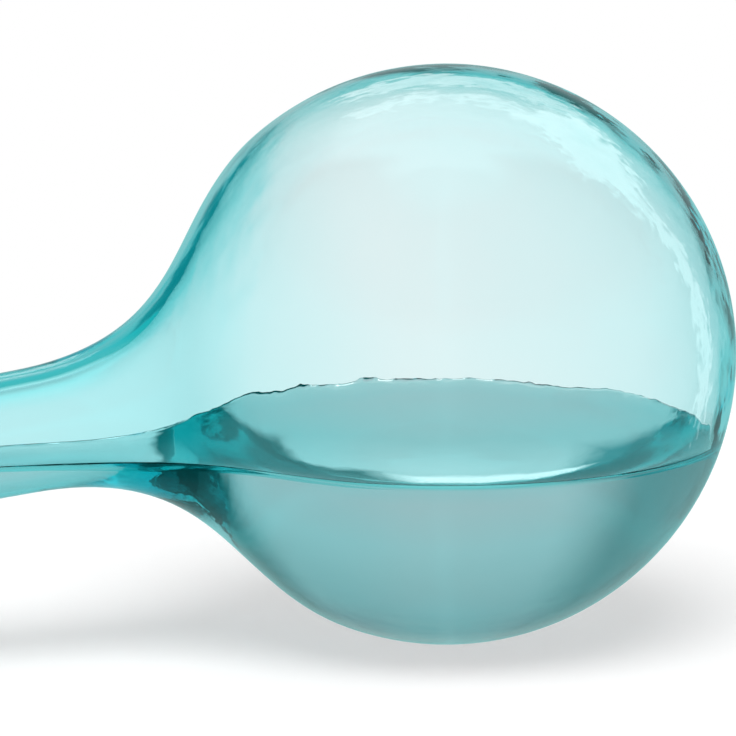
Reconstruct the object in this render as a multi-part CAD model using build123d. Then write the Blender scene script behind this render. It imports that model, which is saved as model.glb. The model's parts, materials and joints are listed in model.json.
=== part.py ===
from build123d import *
import math
import os

# Watering globe: a bulb and a long stem blown from one gather of glass, part filled with water.
# Millimetres, +Z up. The globe lies as it is put down: the bulb and the lip of the mouth both
# touch the ground at z = 0, and the globe's axis runs in the XZ plane, bulb at +X, mouth at -X.
# The glass is kept as two solids, bulb and stem, that meet face to face at the stem's root.

# Driving dimensions of the outside
bulb_diameter = 85.0
globe_length = 345.0        # far pole of the bulb to the lip of the mouth, along the axis
root_diameter = 18.0        # stem where the neck's sweep ends
root_distance = 64.0        # from the bulb's centre to that place
mouth_diameter = 10.0
mouth_length = 24.0         # the straight stretch that ends in the lip

# Driving dimensions of the wall
bulb_wall = 1.0             # at the bulb's waist
pole_thickening = 0.6       # the far pole is this much thicker: the hot glass sags that way
root_wall = 2.5
root_inside_distance = 63.0  # from the bulb's centre to where the hollow's sweep ends
bore_diameter = 5.0

# Driving dimensions of the water
root_water_depth = 1.65     # the water's depth where the neck's hollow meets the stem's
water_gap = 0.1             # clearance from the glass all round

# Shape of the two sweeps from bulb to stem. The angles are at the bulb's centre, off the axis.
neck_angle = 60.0
neck_bulb_share = 0.34      # length of the curve's handle at the bulb, over the sweep's span
neck_stem_share = 0.54      # the same at the stem
shoulder_angle = 78
shoulder_bulb_share = 0.42
shoulder_stem_share = 0.52
stem_handle_share = 0.40    # handles of the long taper, over its span
root_taper_share = 0.009    # radius that the stem loses for its length, at the root

# Worked out from those
bulb_radius = bulb_diameter / 2
root_radius = root_diameter / 2
mouth_radius = mouth_diameter / 2
bore_radius = bore_diameter / 2
hollow_radius = bulb_radius - bulb_wall
lip_radius = (mouth_radius - bore_radius) / 2
mouth_distance = globe_length - bulb_radius         # bulb's centre to the lip's end
straight_start = mouth_distance - mouth_length      # bulb's centre to the straight stretch
lip_distance = mouth_distance - lip_radius          # bulb's centre to the lip's rounding
lip_ring_radius = mouth_radius - lip_radius

# The globe tips until bulb and lip are level with the ground
lip_reach = math.hypot(lip_distance, lip_ring_radius)
lip_lift = math.atan2(lip_ring_radius, lip_distance)
tilt = math.asin((bulb_radius - lip_radius) / lip_reach) - lip_lift
lip_x_reach = lip_distance * math.cos(tilt) + lip_ring_radius * math.sin(tilt) + lip_radius
bulb_centre_x = (lip_x_reach - bulb_radius) / 2     # so that x = 0 is the middle of the length
bulb_centre_z = bulb_radius

# The water's level is measured from the hollow's floor at the root, its shallowest place
root_hollow_radius = root_radius - root_wall
root_floor_drop = root_inside_distance * math.sin(tilt) + root_hollow_radius * math.cos(tilt)
water_level = bulb_centre_z - root_floor_drop + root_water_depth


def round_point(radius, angle, shift=0):
    """A point of a ball's outline. The angle starts at the stem, the shift is towards the pole."""
    turn = math.radians(angle)
    return (shift - radius * math.cos(turn), radius * math.sin(turn))


def handle_end(start, along, length):
    """The far end of a curve's handle that leaves start in the direction along."""
    size = math.hypot(*along)
    return (start[0] + along[0] / size * length, start[1] + along[1] / size * length)


def drawn_wall(radius, shift, angle, bulb_share, stem_share, root, mouth):
    """One side of the glass, from the far pole to the start of the mouth's straight stretch."""
    pole = round_point(radius, 180, shift)
    side = round_point(radius, (180 + angle) / 2, shift)
    leave = round_point(radius, angle, shift)
    ThreePointArc(pole, side, leave)

    turn = math.radians(angle)
    down_bulb = (-math.sin(turn), -math.cos(turn))
    along_stem = (-1, -root_taper_share)
    span = math.dist(leave, root)
    bulb_handle = handle_end(leave, down_bulb, bulb_share * span)
    stem_handle = handle_end(root, along_stem, -stem_share * span)
    Bezier(leave, bulb_handle, stem_handle, root)

    taper = math.dist(root, mouth) * stem_handle_share
    root_handle = handle_end(root, along_stem, taper)
    mouth_handle = handle_end(mouth, (1, 0), taper)
    Bezier(root, root_handle, mouth_handle, mouth)


def outside_wall():
    root = (-root_distance, root_radius)
    mouth = (-straight_start, mouth_radius)
    drawn_wall(bulb_radius, 0, neck_angle, neck_bulb_share, neck_stem_share, root, mouth)


def inside_wall(gap):
    """The hollow's outline, or with a gap the outline of what fills it."""
    root = (-root_inside_distance, root_hollow_radius - gap)
    mouth = (-straight_start, bore_radius - gap)
    drawn_wall(
        hollow_radius - gap, -pole_thickening,
        shoulder_angle, shoulder_bulb_share, shoulder_stem_share, root, mouth,
    )


def lay_down(shape):
    """Turns a shape from the globe's own axis to where it lies on the ground."""
    return Pos(bulb_centre_x, 0, bulb_centre_z) * Rot(0, -math.degrees(tilt), 0) * shape


def blown_glass():
    """The whole glass: bulb, neck, stem and the fire-polished lip round its open mouth."""
    with BuildPart() as globe:
        with BuildSketch(Plane.XZ):
            with BuildLine():
                outside_wall()
                Line((-straight_start, mouth_radius), (-lip_distance, mouth_radius))
                ThreePointArc(
                    (-lip_distance, mouth_radius),
                    (-mouth_distance, lip_ring_radius),
                    (-lip_distance, bore_radius),
                )
                Line((-lip_distance, bore_radius), (-straight_start, bore_radius))
                inside_wall(0)
                Line((hollow_radius - pole_thickening, 0), (bulb_radius, 0))
            make_face()
        revolve(axis=Axis.X)
    return globe.part


def bulb(glass):
    """The bulb with its swept neck, as far as the stem's root."""
    return lay_down(split(glass, root_plane, Keep.TOP))


def stem(glass):
    """The stem from its root to the lip of the mouth."""
    return lay_down(split(glass, root_plane, Keep.BOTTOM))


def water():
    """The water lies in the bulb, the neck and the stem, up to one level."""
    with BuildPart() as filling:
        with BuildSketch(Plane.XZ):
            with BuildLine():
                inside_wall(water_gap)
                Line((-straight_start, bore_radius - water_gap), (-straight_start, 0))
                Line((-straight_start, 0), (hollow_radius - water_gap - pole_thickening, 0))
            make_face()
        revolve(axis=Axis.X)
    air = Pos(0, 0, water_level) * Box(
        globe_length, bulb_diameter, bulb_diameter,
        align=(Align.CENTER, Align.CENTER, Align.MIN),
    )
    return lay_down(filling.part) - air


os.makedirs("parts", exist_ok=True)
root_plane = Plane(origin=(-root_distance, 0, 0), z_dir=(1, 0, 0))
glass = blown_glass()
export_step(bulb(glass), "parts/bulb.step")
export_step(stem(glass), "parts/stem.step")
export_step(water(), "parts/water.step")

print("tilt in degrees", math.degrees(tilt))
print("bulb centre", bulb_centre_x, bulb_centre_z)
print("bulb centre to lip", mouth_distance)
print("water level", water_level)
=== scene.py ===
import json
import math
from bisect import bisect_left

import bmesh
import bpy
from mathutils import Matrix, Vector, geometry, kdtree, noise


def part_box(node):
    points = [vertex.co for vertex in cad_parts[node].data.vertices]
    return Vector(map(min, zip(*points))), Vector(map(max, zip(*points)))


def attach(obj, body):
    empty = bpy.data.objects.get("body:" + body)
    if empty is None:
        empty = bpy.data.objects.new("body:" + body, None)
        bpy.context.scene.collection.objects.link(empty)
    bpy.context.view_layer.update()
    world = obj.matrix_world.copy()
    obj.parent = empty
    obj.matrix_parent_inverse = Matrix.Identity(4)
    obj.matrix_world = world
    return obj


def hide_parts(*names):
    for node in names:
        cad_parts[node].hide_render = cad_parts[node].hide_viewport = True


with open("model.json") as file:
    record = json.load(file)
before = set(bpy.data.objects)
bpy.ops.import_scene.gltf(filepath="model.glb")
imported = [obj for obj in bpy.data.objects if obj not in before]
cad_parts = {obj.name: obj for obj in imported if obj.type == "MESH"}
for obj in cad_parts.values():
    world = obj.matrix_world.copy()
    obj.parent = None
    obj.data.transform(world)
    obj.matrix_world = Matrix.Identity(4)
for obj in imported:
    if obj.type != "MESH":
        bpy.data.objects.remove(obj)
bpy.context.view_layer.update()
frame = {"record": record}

mm = 0.001


def hexColour(code):
    # sRGB hex to Blender's linear colour
    channels = [int(code[i:i + 2], 16) / 255 for i in (1, 3, 5)]
    return (*(c / 12.92 if c <= 0.04045 else ((c + 0.055) / 1.055) ** 2.4 for c in channels), 1)


def addNode(tree, kind, settings=None, links=None):
    # one node, with its settings by attribute or socket name, and links into its sockets
    node = tree.nodes.new(kind)
    for name, value in (settings or {}).items():
        if isinstance(name, str) and hasattr(node, name) and name not in node.inputs:
            setattr(node, name, value)
        else:
            node.inputs[name].default_value = value
    for name, source in (links or {}).items():
        tree.links.new(source, node.inputs[name])
    return node


def newMaterial(name):
    material = bpy.data.materials.new(name)
    material.use_nodes = True
    material.node_tree.nodes.clear()
    return material, material.node_tree


def finishPiece(bm, name, material):
    for face in bm.faces:
        face.smooth = True
    mesh = bpy.data.meshes.new(name)
    bm.to_mesh(mesh)
    bm.free()
    mesh.materials.append(material)
    piece = bpy.data.objects.new(name, mesh)
    bpy.context.scene.collection.objects.link(piece)
    return piece


# The globe's own axis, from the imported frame: it leaves the bulb's centre towards the mouth
mouthMount = next(m for m in frame["record"]["mounts"] if m["name"] == "mouth")
axis = Vector(mouthMount["axis"]).normalized()
sideways = Vector((0, 1, 0))
upright = sideways.cross(axis)
bulbLow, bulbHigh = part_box("bulb")
bulbRadius = (bulbHigh.z - bulbLow.z) / 2
bulbCentre = Vector((bulbHigh.x - bulbRadius, 0, bulbLow.z + bulbRadius))
boreRadius = mouthMount["dims"]["r_mm"] * mm
boreMiddle = (Vector(mouthMount["pos_m"]) - bulbCentre).dot(axis)
boreHalf = mouthMount["dims"]["length_mm"] * mm / 2
straightStart, lipStart = boreMiddle - boreHalf, boreMiddle + boreHalf


def onGlobe(s, up, side=0.0):
    # a point at s along the axis from the bulb's centre, then up and sideways off it
    return bulbCentre + axis * s + upright * up + sideways * side


def offAxis(point):
    # the other way: how far along the axis a point is, and how far off it
    s = (point - bulbCentre).dot(axis)
    return s, (point - bulbCentre - axis * s).length


# Blown glass: bulb, neck, stem and lip in one closed skin, outside and inside

glass = {
    "rootDistance": 64 * mm,          # from the bulb's centre to the end of the neck's sweep
    "rootRadius": 9 * mm,
    "rootInsideDistance": 63 * mm,    # the same for the hollow
    "rootWall": 2.5 * mm,
    "bulbWall": 1.0 * mm,
    "poleThickening": 0.6 * mm,
    "mouthRadius": 5 * mm,
    "neckAngle": 60,                  # degrees off the axis where the sweep leaves the bulb
    "neckShares": (0.34, 0.54),       # lengths of the curve's handles, over the sweep's span
    "shoulderAngle": 78,
    "shoulderShares": (0.42, 0.52),
    "stemShare": 0.40,
    "rootTaper": 0.009,               # radius that the stem loses for its length, at the root
    "spinSteps": 224,
    "bulbPoints": 100,
    "neckPoints": 44,
    "stemPoints": 60,
    "lipPoints": 14,
    "merge": 0.002 * mm,              # vertices nearer than this become one
    # what the blowing left: how deep each wall's ripples are, and the size of the broad and the fine ones
    "ripples": {"inside": (0.08 * mm, 13 * mm, 4.5 * mm), "outside": (0.03 * mm, 8 * mm, 3.5 * mm)},
    "rippleShares": (0.7, 0.35),
    "nearWall": 0.3 * mm,             # what is nearer to the hollow than this belongs to the inside wall
    "wrinkleSize": 5.5 * mm,
    "wrinkleDepth": 0.03 * mm,
    "wrinkleDetail": 2,
    "index": 1.5,
    "sheen": "#95f3f7",
    "tint": "#7cf9fd",
    "tintDensity": 165,
}


def glassMaterial():
    # blown soda-lime glass: clear, fire-polished and tinted in the melt, so thick glass has more colour
    material, tree = newMaterial("blown soda-lime glass")
    # the wrinkles of a skin that cooled on the blowpipe, which bend what is seen through it
    where = addNode(tree, "ShaderNodeTexCoord")
    wrinkles = addNode(tree, "ShaderNodeTexNoise", {
        "Scale": 1 / glass["wrinkleSize"], "Detail": glass["wrinkleDetail"]}, {
        "Vector": where.outputs["Object"]})
    bump = addNode(tree, "ShaderNodeBump", {"Strength": 1, "Distance": glass["wrinkleDepth"]}, {
        "Height": wrinkles.outputs["Fac"]})
    surface = addNode(tree, "ShaderNodeBsdfPrincipled", {
        "Base Color": (1, 1, 1, 1), "Roughness": 0, "IOR": glass["index"], "Transmission Weight": 1,
        "Specular Tint": hexColour(glass["sheen"])}, {"Normal": bump.outputs["Normal"]})
    tint = addNode(tree, "ShaderNodeVolumeAbsorption", {
        "Color": hexColour(glass["tint"]), "Density": glass["tintDensity"]})
    addNode(tree, "ShaderNodeOutputMaterial", links={
        "Surface": surface.outputs["BSDF"], "Volume": tint.outputs["Volume"]})
    return material


def drawnWall(radius, shift, angle, shares, root, mouth):
    # one wall as (s, r) points, from the far pole over the bulb, down the neck and along the stem
    turn = math.radians(angle)
    points = []
    for i in range(glass["bulbPoints"]):
        a = math.pi + (turn - math.pi) * i / glass["bulbPoints"]
        points.append((radius * math.cos(a) - shift, radius * math.sin(a)))
    leave = Vector((radius * math.cos(turn) - shift, radius * math.sin(turn)))
    root, mouth = Vector(root), Vector(mouth)
    downBulb = Vector((math.sin(turn), -math.cos(turn)))
    alongStem = Vector((1, -glass["rootTaper"])).normalized()
    span = (root - leave).length
    neck = geometry.interpolate_bezier(
        leave, leave + downBulb * shares[0] * span,
        root - alongStem * shares[1] * span, root, glass["neckPoints"])
    reach = (mouth - root).length * glass["stemShare"]
    stem = geometry.interpolate_bezier(
        root, root + alongStem * reach, mouth - Vector((reach, 0)), mouth, glass["stemPoints"])
    return points + [tuple(p) for p in neck[:-1] + stem]


outside = drawnWall(
    bulbRadius, 0, glass["neckAngle"], glass["neckShares"],
    (glass["rootDistance"], glass["rootRadius"]), (straightStart, glass["mouthRadius"]))
inside = drawnWall(
    bulbRadius - glass["bulbWall"], -glass["poleThickening"], glass["shoulderAngle"], glass["shoulderShares"],
    (glass["rootInsideDistance"], glass["rootRadius"] - glass["rootWall"]), (straightStart, boreRadius))
insideS = [s for s, r in inside]


def wallAt(s):
    # the hollow's radius at s
    i = min(max(bisect_left(insideS, s), 1), len(inside) - 1)
    (s0, r0), (s1, r1) = inside[i - 1], inside[i]
    return r0 + (r1 - r0) * min(max((s - s0) / (s1 - s0), 0), 1)


def rippleAt(point, wall):
    # how far a wall stands in towards the axis at a point
    depth, *sizes = glass["ripples"][wall]
    uneven = sum(share * noise.noise(point / size) for share, size in zip(glass["rippleShares"], sizes))
    return depth * min(max(0.5 + uneven, 0), 1)


def makeGlobe():
    lipRadius = (glass["mouthRadius"] - boreRadius) / 2
    lipRing = (glass["mouthRadius"] + boreRadius) / 2
    lip = []
    for i in range(glass["lipPoints"] + 1):
        a = math.pi / 2 - math.pi * i / glass["lipPoints"]
        lip.append((lipStart + lipRadius * math.cos(a), lipRing + lipRadius * math.sin(a)))
    bm = bmesh.new()
    verts = [bm.verts.new(onGlobe(s, r)) for s, r in outside + lip + inside[::-1]]
    edges = [bm.edges.new(pair) for pair in zip(verts, verts[1:])]
    bmesh.ops.spin(bm, geom=verts + edges, cent=bulbCentre, axis=axis, dvec=(0, 0, 0),
                   angle=math.tau, steps=glass["spinSteps"], use_merge=True, use_normal_flip=False)
    bmesh.ops.remove_doubles(bm, verts=bm.verts[:], dist=glass["merge"])
    bmesh.ops.recalc_face_normals(bm, faces=bm.faces[:])
    bm.normal_update()
    for vert in bm.verts:
        s, r = offAxis(vert.co)
        if insideS[0] - glass["nearWall"] < s < straightStart and r < wallAt(s) + glass["nearWall"]:
            vert.co += vert.normal * rippleAt(vert.co, "inside")
        elif s < straightStart:
            vert.co -= vert.normal * rippleAt(vert.co, "outside")
    print("globe blown:", len(bm.faces), "faces, open edges", sum(not e.is_manifold for e in bm.edges))
    return finishPiece(bm, "blown_globe", glassMaterial())


globe = makeGlobe()
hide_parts("bulb", "stem")
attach(globe, "root")


# Water: it lies in the bulb and runs on down the stem, with a meniscus where it climbs the glass

water = {
    "rise": 1.4 * mm,           # how far it climbs
    "capillary": 2.72 * mm,     # capillary length of clean water
    "meniscusSteps": 400,
    "flatSlope": 0.002,         # radians, where the meniscus counts as flat
    "overlap": 0.1 * mm,        # it reaches this far into the wall, so that no film of air shows
    "across": 96,
    "around": 112,
    "bulbStations": 110,
    "neckStations": 80,
    "stemStations": 40,
    "neckStart": 36 * mm,       # from the bulb's centre to where the neck's stations begin
    "halvings": 60,
    "edgeReach": 2,             # how many lengths of the edge are searched on each side
    "merge": 0.0002 * mm,       # as for the glass, but finer, because the pool starts in a sharp tip
    "nearSide": 0.02 * mm,      # what is nearer to its side than this follows the glass's ripples
    "freeShare": 0.8,           # and what is over this share of the rise doesn't
    "ragged": 0.45 * mm,        # how far the far side's edge drops where the glass isn't wet
    "raggedSize": 1.1 * mm,
    "index": 1.333,
    "sheen": "#bcf3f7",
    "tint": "#89f3f7",
    "tintDensity": 8,
}

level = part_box("water")[1].z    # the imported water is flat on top


def waterMaterial():
    # still water in tinted glass: clear and mirror smooth, with a little of the glass's colour
    material, tree = newMaterial("still water")
    surface = addNode(tree, "ShaderNodeBsdfPrincipled", {
        "Base Color": (1, 1, 1, 1), "Roughness": 0, "IOR": water["index"], "Transmission Weight": 1,
        "Specular Tint": hexColour(water["sheen"])})
    tint = addNode(tree, "ShaderNodeVolumeAbsorption", {
        "Color": hexColour(water["tint"]), "Density": water["tintDensity"]})
    addNode(tree, "ShaderNodeOutputMaterial", links={
        "Surface": surface.outputs["BSDF"], "Volume": tint.outputs["Volume"]})
    return material


def meniscusTable():
    # a meniscus on a wall: height 2a sin(slope / 2), and distance from the wall by adding dz / tan(slope)
    a, steps = water["capillary"], water["meniscusSteps"]
    top = 2 * math.asin(water["rise"] / 2 / a)
    slopes = [top * (water["flatSlope"] / top) ** (i / steps) for i in range(steps + 1)]
    points = [(0.0, water["rise"])]
    for steep, gentle in zip(slopes, slopes[1:]):
        middle, step = math.sqrt(steep * gentle), steep - gentle
        distance = points[-1][0] + a * math.cos(middle / 2) / math.tan(middle) * step
        points.append((distance, 2 * a * math.sin((middle - step / 2) / 2)))
    return points


meniscus = meniscusTable()
meniscusReach = [distance for distance, height in meniscus]


def meniscusHeight(distance):
    if distance >= meniscusReach[-1]:
        return 0.0
    i = max(bisect_left(meniscusReach, distance), 1)
    (d0, h0), (d1, h1) = meniscus[i - 1], meniscus[i]
    return h0 + (h1 - h0) * (distance - d0) / (d1 - d0)


def hollowAt(s):
    return wallAt(s) + water["overlap"]


def contactAt(s):
    # how far above the axis the edge's plane is at s, which may be outside the hollow
    return (level + water["rise"] - bulbCentre.z - s * axis.z) / upright.z


def halfWidth(s):
    # from the middle of that plane to the glass
    return math.sqrt(max(hollowAt(s) ** 2 - contactAt(s) ** 2, 0))


def onEdgePlane(s, side):
    return onGlobe(s, min(max(contactAt(s), -hollowAt(s)), hollowAt(s)), side)


def edgeEnd(missed, cut):
    # where the edge's plane just misses the hollow, between a place that it misses and one that it cuts
    for _ in range(water["halvings"]):
        middle = (missed + cut) / 2
        missed, cut = (missed, middle) if halfWidth(middle) > 0 else (middle, cut)
    return missed


def waterStations(start, closing):
    # places along the axis, closest together where the surface starts and where it closes
    stations = []
    for i in range(water["bulbStations"]):
        share = 1 - math.cos(math.pi / 2 * i / water["bulbStations"])
        stations.append(start + (water["neckStart"] - start) * share)
    for i in range(water["neckStations"]):
        share = math.sin(math.pi / 2 * i / water["neckStations"])
        stations.append(water["neckStart"] + (closing - water["neckStart"]) * share)
    for i in range(water["stemStations"] + 1):
        stations.append(closing + (straightStart - closing) * i / water["stemStations"])
    return stations


def makeWater():
    # the surface starts at the bulb's far side and closes where the stem's hollow is full
    start, closing = edgeEnd(insideS[0], 0), edgeEnd(straightStart, glass["rootDistance"])
    stations = waterStations(start, closing)
    edge = [onEdgePlane(s, halfWidth(s)) * Vector((1, 1, 0)) for s in stations if s <= closing]
    edgeTree = kdtree.KDTree(len(edge))
    for i, point in enumerate(edge):
        edgeTree.insert(point, i)
    edgeTree.balance()

    def edgeDistance(point):
        # from a point of the surface to the edge, both seen from above
        first = max(edgeTree.find(point)[1] - water["edgeReach"], 0)
        close = edge[first:first + 2 * water["edgeReach"] + 1]
        best = math.inf
        for one, two in zip(close, close[1:]):
            _, share = geometry.intersect_point_line(point, one, two)
            best = min(best, (point - one.lerp(two, min(max(share, 0), 1))).length)
        return best

    def surfacePoint(s, share):
        # a point of the surface, with share from -1 to 1 across the hollow
        point = onEdgePlane(s, halfWidth(s) * math.sin(math.pi / 2 * share))
        if halfWidth(s) == 0:
            return point
        # the two sides' menisci run together where the hollow is narrow
        near = edgeDistance(Vector((point.x, point.y, 0))) / water["capillary"]
        far = edgeDistance(Vector((point.x, -point.y, 0))) / water["capillary"]
        climb = (math.exp(-near) + math.exp(-far)) / (1 + math.exp(-near - far))
        height = meniscusHeight(-water["capillary"] * math.log(min(climb, 1)))
        point.z = level + height
        torn = max(share, 0) * (0.5 + 0.5 * noise.noise(point / water["raggedSize"]))
        point.z -= water["ragged"] * torn * (height / water["rise"]) ** 2
        return point

    def sidePoint(s, share):
        # a point of the wet glass, with share from 0 to 1 round under the water
        turn = math.acos(min(max(contactAt(s) / hollowAt(s), -1), 1))
        a = turn + (math.tau - 2 * turn) * share
        return onGlobe(s, hollowAt(s) * math.cos(a), hollowAt(s) * math.sin(a))

    # each row of a grid goes over the surface and back under it
    columns, rows = water["across"] + water["around"], len(stations) - 1
    bm = bmesh.new()
    bmesh.ops.create_grid(bm, x_segments=columns, y_segments=rows, size=0.5)
    for vert in bm.verts:
        s = stations[round((vert.co.y + 0.5) * rows)]
        column = round((vert.co.x + 0.5) * columns) % columns
        if column <= water["across"]:
            vert.co = surfacePoint(s, 2 * column / water["across"] - 1)
        else:
            vert.co = sidePoint(s, (column - water["across"]) / water["around"])
    bmesh.ops.remove_doubles(bm, verts=bm.verts[:], dist=water["merge"])
    bmesh.ops.holes_fill(bm, edges=[e for e in bm.edges if e.is_boundary])
    bmesh.ops.recalc_face_normals(bm, faces=bm.faces[:])
    bm.normal_update()
    for vert in bm.verts:
        s, r = offAxis(vert.co)
        wet = r > hollowAt(s) - water["nearSide"] and s < straightStart
        if wet and vert.co.z < level + water["freeShare"] * water["rise"]:
            vert.co -= vert.normal * rippleAt(vert.co, "inside")
    print("water filled:", len(bm.faces), "faces, open edges", sum(not e.is_manifold for e in bm.edges))
    return finishPiece(bm, "water_charge", waterMaterial())


waterBody = makeWater()
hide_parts("water")
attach(waterBody, "root")


# Table top, which keeps the shadow

table = {
    "length": 0.56,
    "width": 0.30,
    "white": "#cccccc",
    "glow": 0.44,    # what lifts it to white where the lamp reaches it, for the camera only
}


def laminateMaterial():
    # matt white laminate: smooth and without gloss, so the eye gets the shadow and no mirror image
    material, tree = newMaterial("matt white laminate")
    diffuse = addNode(tree, "ShaderNodeBsdfDiffuse", {"Color": hexColour(table["white"])})
    path = addNode(tree, "ShaderNodeLightPath")
    strength = addNode(tree, "ShaderNodeMath", {"operation": "MULTIPLY", 1: table["glow"]}, {
        0: path.outputs["Is Camera Ray"]})
    glow = addNode(tree, "ShaderNodeEmission", {"Color": (1, 1, 1, 1)}, {"Strength": strength.outputs[0]})
    both = addNode(tree, "ShaderNodeAddShader", links={0: diffuse.outputs[0], 1: glow.outputs[0]})
    addNode(tree, "ShaderNodeOutputMaterial", links={"Surface": both.outputs[0]})
    return material


def makeTable():
    bm = bmesh.new()
    bmesh.ops.create_grid(bm, x_segments=1, y_segments=1, size=0.5)
    bmesh.ops.scale(bm, vec=(table["length"], table["width"], 1), verts=bm.verts[:])
    top = finishPiece(bm, "table_top", laminateMaterial())
    top.visible_transmission = False    # glass shows the backdrop instead, which goes on below the horizon
    top.visible_glossy = False
    print("table laid")


makeTable()


# Camera: the bulb sits where the picture has it

shot = {
    "elevation": 11.0,            # degrees that it looks down
    "yaw": 16.15,                 # degrees that the stem points towards it
    "distance": 1.6,
    "pixel": 0.14625 * mm,        # size of a pixel at the bulb
    "frame": 736,                 # pixels
    "bulbAt": (445.8, 354.1),     # the bulb's centre in pixels, from the left and from the top
    "sensor": 36.0,
}


def makeCamera():
    e, yaw = math.radians(shot["elevation"]), math.radians(shot["yaw"])
    back = Vector((-math.sin(yaw) * math.cos(e), -math.cos(yaw) * math.cos(e), math.sin(e)))
    turn = (-back).to_track_quat("-Z", "Y")
    right, up = turn @ Vector((1, 0, 0)), turn @ Vector((0, 1, 0))
    half = shot["frame"] / 2
    offRight = (shot["bulbAt"][0] - half) * shot["pixel"]
    offUp = (half - shot["bulbAt"][1]) * shot["pixel"]
    aim = bulbCentre - right * offRight - up * offUp
    data = bpy.data.cameras.new("camera")
    data.sensor_width = shot["sensor"]
    data.lens = shot["sensor"] * shot["distance"] / (shot["frame"] * shot["pixel"])
    camera = bpy.data.objects.new("camera", data)
    camera.location = aim + back * shot["distance"]
    camera.rotation_mode = "QUATERNION"
    camera.rotation_quaternion = turn
    bpy.context.scene.collection.objects.link(camera)
    bpy.context.scene.camera = camera
    print("camera placed")


makeCamera()


# Studio: backdrops with cards and soft lights in front of them, and a lamp overhead

studio = {
    # backdrops: degrees over the horizon and colours, as seen through glass and air, through the water,
    # and mirrored
    "backdrops": {
        "air": ((-5, "#ffffff"), (8, "#dcfcfc"), (20, "#b4c4c6")),
        "water": ((-50, "#bfced1"), (-38, "#b6d7d9"), (-28, "#dcf0f1"), (-18, "#e6f8f8"), (-5, "#8cd2d2"),
                  (5, "#d8cecf"), (12, "#cad1d2"), (20, "#bcc5c6"), (30, "#b1bbbd"), (43, "#a0a0a3"),
                  (60, "#bdb8b8")),
        "mirrored": ((-60, "#6ab5b5"), (-30, "#a9c5c3"), (-10, "#90d0d0"), (5, "#a8c4c5"), (20, "#2ebbbd"),
                     (36, "#4abab9"), (50, "#f2fbfb"), (70, "#f0fafa")),
    },
    # cards: from and to in degrees right of the way the camera looks, the same over the horizon,
    # how soft the edge is, and the colour
    "cards": {
        "air": (((-60, -12), (-40, 40), 5, "#b4f0f1"),),
        "water": (((32, 90), (-8, 90), 8, "#236d6e"), ((-90, -19), (-8, 90), 8, "#779091"),
                  ((6, 80), (-25, -12), 2, "#04282b"), ((17, 80), (-36, -20), 3, "#04282b"),
                  ((-80, -14), (-34, -12), 4, "#116b73")),
        "mirrored": (((40, 95), (-5, 45), 8, "#0c989c"), ((-95, -40), (-5, 45), 8, "#0c9298"),
                     ((-40, -22), (-6, 18), 3, "#14868c")),
    },
    # the camera's side of the room, on the left and the right alike
    "front": (((90, 180), (-90, 90), 15, "#22a9a9"), ((58, 180), (22, 72), 8, "#0c3c40")),
    # soft lights, with a strength for the colour: those that the outer surface mirrors
    "lights": (((-26, 24), (42, 48), 2, 2.0), ((-14, 20), (22, 35), 2, 1.6), ((22, 60), (27, 50), 3, 2.6),
               ((51, 60), (-18, 27), 2, 2.0)),
    "lowLight": ((-17, 4), (-23, -13), 2, 1.7),    # seen through the water
    "tornBy": 11,                        # degrees that the mirrored lights' edges are torn by
    "tornSize": 0.05,
    "tornDetail": 4,
    "glassFaces": 4,                     # light that has crossed more faces than this comes through the water
    "throughGlass": ("#ffd8d8", 1.7),    # the light that glass and water let through to the table
    "overheadTilt": 29,
    "overhead": 6.6,
    "overheadInner": 0.975,              # cosines of where the lamp's light starts to fade, and ends
    "overheadOuter": 0.91,
    "fill": 0.42,
    "bounces": 32,                       # light goes back and forth in a wall many times before it leaves
    "mirrorBounces": 16,
}


def backdropColour(tree, height, stops):
    # a backdrop's colours by height
    upward = addNode(tree, "ShaderNodeMapRange", {"From Min": -90, "From Max": 90}, {"Value": height})
    ramp = addNode(tree, "ShaderNodeValToRGB", links={0: upward.outputs[0]})
    elements = ramp.color_ramp.elements
    while len(elements) < len(stops):
        elements.new(0.5)
    for element, (degrees, colour) in zip(elements, stops):
        element.position = (degrees + 90) / 180
        element.color = hexColour(colour)
    return ramp.outputs[0]


def cardColour(tree, place, card, behind):
    # a card, or a light, with a soft edge in front of what was there
    (left, right), (low, high), soft, shade = card
    colour = hexColour(shade) if isinstance(shade, str) else (shade, shade, shade, 1)
    off = addNode(tree, "ShaderNodeVectorMath", {
        "operation": "SUBTRACT", 1: ((left + right) / 2, (low + high) / 2, 0)}, {0: place})
    off = addNode(tree, "ShaderNodeVectorMath", {"operation": "ABSOLUTE"}, {0: off.outputs[0]})
    off = addNode(tree, "ShaderNodeVectorMath", {
        "operation": "SUBTRACT", 1: ((right - left) / 2, (high - low) / 2, 0)}, {0: off.outputs[0]})
    sides = addNode(tree, "ShaderNodeSeparateXYZ", links={0: off.outputs[0]})
    furthest = addNode(tree, "ShaderNodeMath", {"operation": "MAXIMUM"}, {
        0: sides.outputs["X"], 1: sides.outputs["Y"]})
    within = addNode(tree, "ShaderNodeMapRange", {
        "interpolation_type": "SMOOTHSTEP", "From Min": soft, "From Max": -soft}, {
        "Value": furthest.outputs[0]})
    # a colour mix takes its share at socket 0 and its two colours at 6 and 7, and gives the result at 2
    return addNode(tree, "ShaderNodeMix", {"data_type": "RGBA", 7: colour}, {
        0: within.outputs[0], 6: behind}).outputs[2]


def lampLight(tree, way):
    # the lamp overhead, which lights the table
    tilt = math.radians(studio["overheadTilt"])
    facing = addNode(tree, "ShaderNodeVectorMath", {
        "operation": "DOT_PRODUCT", 1: (0, -math.sin(tilt), math.cos(tilt))}, {0: way})
    return addNode(tree, "ShaderNodeMapRange", {
        "interpolation_type": "SMOOTHSTEP", "From Min": studio["overheadOuter"],
        "From Max": studio["overheadInner"], "To Min": studio["fill"], "To Max": studio["overhead"]}, {
        "Value": facing.outputs["Value"]}).outputs[0]


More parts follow.
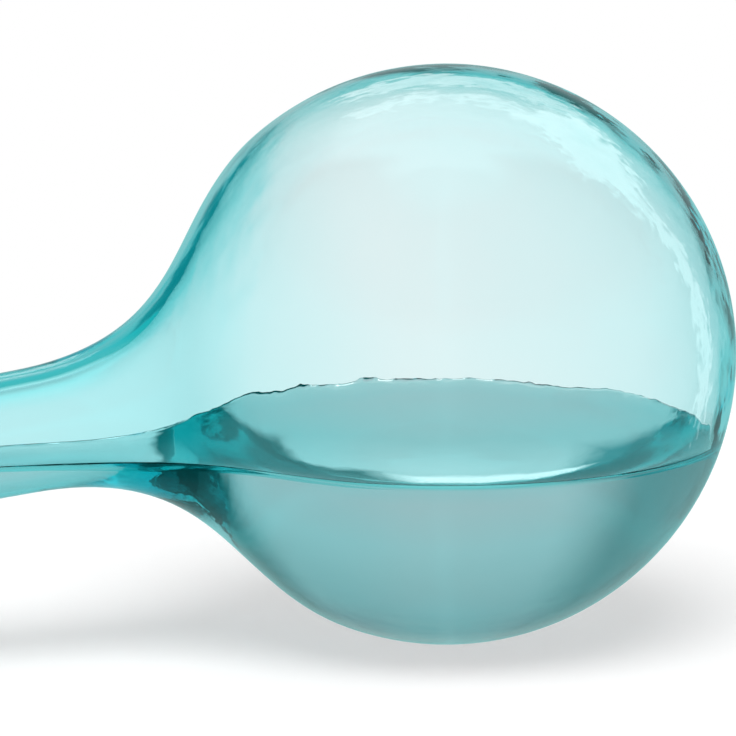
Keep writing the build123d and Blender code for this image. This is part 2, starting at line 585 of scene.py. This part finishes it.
def makeStudio():
    world = bpy.data.worlds.new("studio")
    bpy.context.scene.world = world
    world.use_nodes = True
    tree = world.node_tree
    tree.nodes.clear()

    # a direction in degrees: right of the way the camera looks, and over the horizon
    where = addNode(tree, "ShaderNodeTexCoord")
    way = addNode(tree, "ShaderNodeVectorRotate", {
        "rotation_type": "Z_AXIS", "Angle": math.radians(shot["yaw"])}, {
        "Vector": where.outputs["Generated"]}).outputs[0]
    parts = addNode(tree, "ShaderNodeSeparateXYZ", links={0: way})
    across = addNode(tree, "ShaderNodeMath", {"operation": "ARCTAN2"}, {
        0: parts.outputs["X"], 1: parts.outputs["Y"]})
    across = addNode(tree, "ShaderNodeMath", {"operation": "DEGREES"}, {0: across.outputs[0]})
    height = addNode(tree, "ShaderNodeMath", {"operation": "ARCSINE"}, {0: parts.outputs["Z"]})
    height = addNode(tree, "ShaderNodeMath", {"operation": "DEGREES"}, {0: height.outputs[0]})
    place = addNode(tree, "ShaderNodeCombineXYZ", links={0: across.outputs[0], 1: height.outputs[0]})
    aside = addNode(tree, "ShaderNodeMath", {"operation": "ABSOLUTE"}, {0: across.outputs[0]})
    evenPlace = addNode(tree, "ShaderNodeCombineXYZ", links={0: aside.outputs[0], 1: height.outputs[0]})

    # uneven glass tears the edges of the lights that it mirrors
    torn = addNode(tree, "ShaderNodeTexNoise", {
        "Scale": 1 / studio["tornSize"], "Detail": studio["tornDetail"]}, {"Vector": way})
    torn = addNode(tree, "ShaderNodeVectorMath", {"operation": "SUBTRACT", 1: (0.5, 0.5, 0.5)}, {
        0: torn.outputs["Color"]})
    torn = addNode(tree, "ShaderNodeVectorMath", {"operation": "SCALE", "Scale": 2 * studio["tornBy"]}, {
        0: torn.outputs[0]})
    tornPlace = addNode(tree, "ShaderNodeVectorMath", {"operation": "ADD"}, {
        0: place.outputs[0], 1: torn.outputs[0]})

    seen = {}
    for name, stops in studio["backdrops"].items():
        seen[name] = backdropColour(tree, height.outputs[0], stops)
        for card in studio["cards"][name]:
            seen[name] = cardColour(tree, place.outputs[0], card, seen[name])
    seen["water"] = cardColour(tree, place.outputs[0], studio["lowLight"], seen["water"])
    for card in studio["front"]:
        seen["mirrored"] = cardColour(tree, evenPlace.outputs[0], card, seen["mirrored"])
    seen["lit"] = seen["mirrored"]
    for card in studio["lights"]:
        seen["lit"] = cardColour(tree, tornPlace.outputs[0], card, seen["lit"])

    # which of them a ray sees: the depths are whole numbers, so they are compared half way between two
    path = addNode(tree, "ShaderNodeLightPath").outputs
    wet = addNode(tree, "ShaderNodeMath", {"operation": "GREATER_THAN", 1: studio["glassFaces"] + 0.5}, {
        0: path["Transmission Depth"]})
    outer = addNode(tree, "ShaderNodeMath", {"operation": "LESS_THAN", 1: 0.5}, {
        0: path["Transmission Depth"]})
    bounced = addNode(tree, "ShaderNodeMath", {"operation": "GREATER_THAN", 1: 0.5}, {
        0: path["Glossy Depth"]})
    fromTable = addNode(tree, "ShaderNodeMath", {"operation": "GREATER_THAN", 1: 0.5}, {
        0: path["Diffuse Depth"]})
    straight = addNode(tree, "ShaderNodeMix", {"data_type": "RGBA"}, {
        0: wet.outputs[0], 6: seen["air"], 7: seen["water"]})
    mirrored = addNode(tree, "ShaderNodeMix", {"data_type": "RGBA"}, {
        0: outer.outputs[0], 6: seen["mirrored"], 7: seen["lit"]})
    around = addNode(tree, "ShaderNodeMix", {"data_type": "RGBA"}, {
        0: bounced.outputs[0], 6: straight.outputs[2], 7: mirrored.outputs[2]})
    shade, strength = studio["throughGlass"]
    around = addNode(tree, "ShaderNodeMix", {
        "data_type": "RGBA", 7: [c * strength for c in hexColour(shade)]}, {
        0: fromTable.outputs[0], 6: around.outputs[2]})

    # light that comes straight from the table sees the lamp, and the camera a white background
    glassy = addNode(tree, "ShaderNodeMath", {"operation": "MAXIMUM"}, {
        0: path["Is Glossy Ray"], 1: path["Is Transmission Ray"]})
    total = addNode(tree, "ShaderNodeMix", {"data_type": "RGBA"}, {
        0: glassy.outputs[0], 6: lampLight(tree, way), 7: around.outputs[2]})
    total = addNode(tree, "ShaderNodeMix", {"data_type": "RGBA", 7: (1, 1, 1, 1)}, {
        0: path["Is Camera Ray"], 6: total.outputs[2]})
    back = addNode(tree, "ShaderNodeBackground", {"Strength": 1}, {"Color": total.outputs[2]})
    addNode(tree, "ShaderNodeOutputWorld", links={"Surface": back.outputs["Background"]})
    print("studio lit")


makeStudio()
bpy.context.scene.view_settings.view_transform = "Standard"
bpy.context.scene.cycles.max_bounces = studio["bounces"]
bpy.context.scene.cycles.transmission_bounces = studio["bounces"]
bpy.context.scene.cycles.glossy_bounces = studio["mirrorBounces"]
